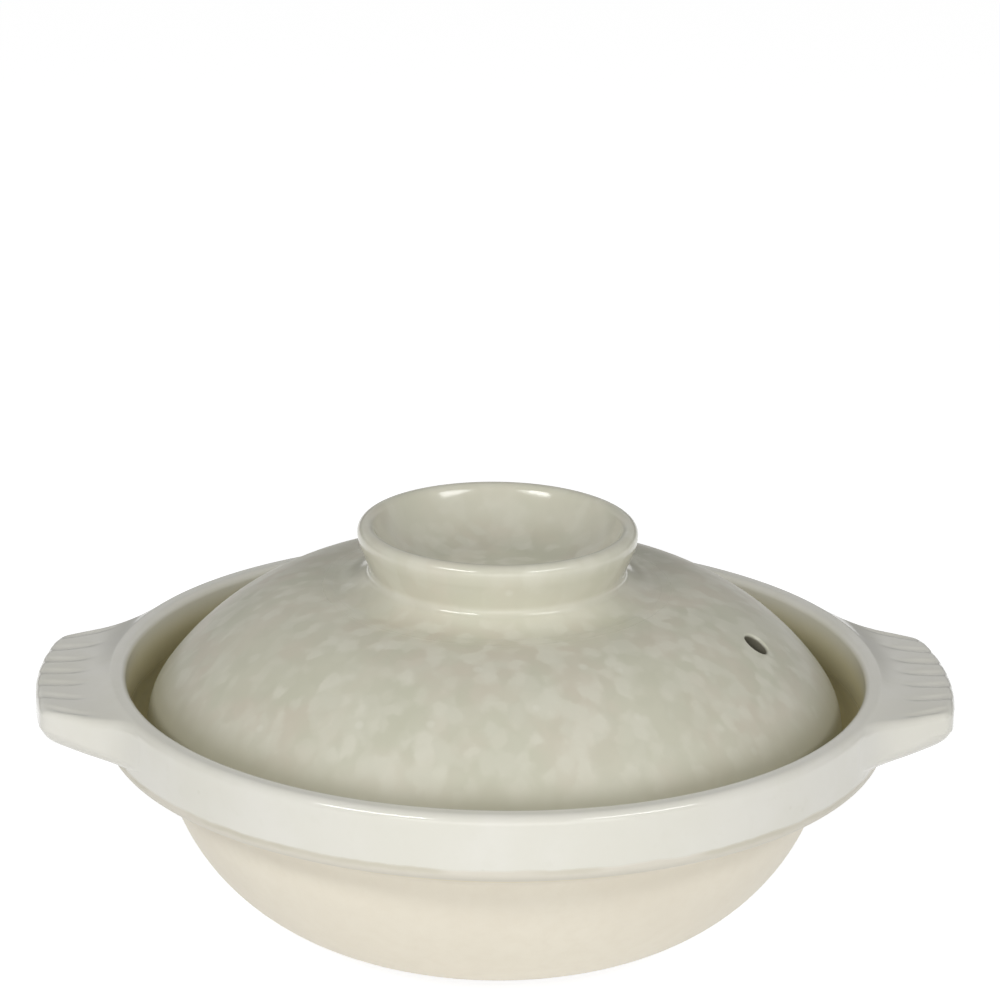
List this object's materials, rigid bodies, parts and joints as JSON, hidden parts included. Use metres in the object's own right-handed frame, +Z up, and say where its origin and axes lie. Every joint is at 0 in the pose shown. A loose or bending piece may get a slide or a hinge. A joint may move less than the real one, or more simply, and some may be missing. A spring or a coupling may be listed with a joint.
{
  "type": "lidded clay pot",
  "caption": "Round lidded clay casserole (donabe) with two slab ear handles, an inset lid gallery, a domed lid with a steam hole, and a ring knob.",
  "frame": {"origin": "on the table under the pot's axis, at the foot ring's lower face", "axes": "+Z up along the pot's axis, +X through the right ear"},
  "size_m": [0.3116, 0.266, 0.1375],
  "materials": {
    "pot_glaze": "off-white gloss glaze on the rim and ears, satin beige on the body",
    "lid_glaze": "gloss glaze, pale grey olive with a mottled crackle"
  },
  "bodies": {
    "pot": {"pot_bowl": "pot_glaze", "ear_left": "pot_glaze", "ear_right": "pot_glaze"},
    "lid": {"lid_dome": "lid_glaze", "lid_knob": "lid_glaze"}
  },
  "joints": [
    {"name": "lid_lift", "type": "slide", "parent": "pot", "child": "lid", "axis": [0, 0, 1], "range_m": [0, 0.08]}
  ]
}
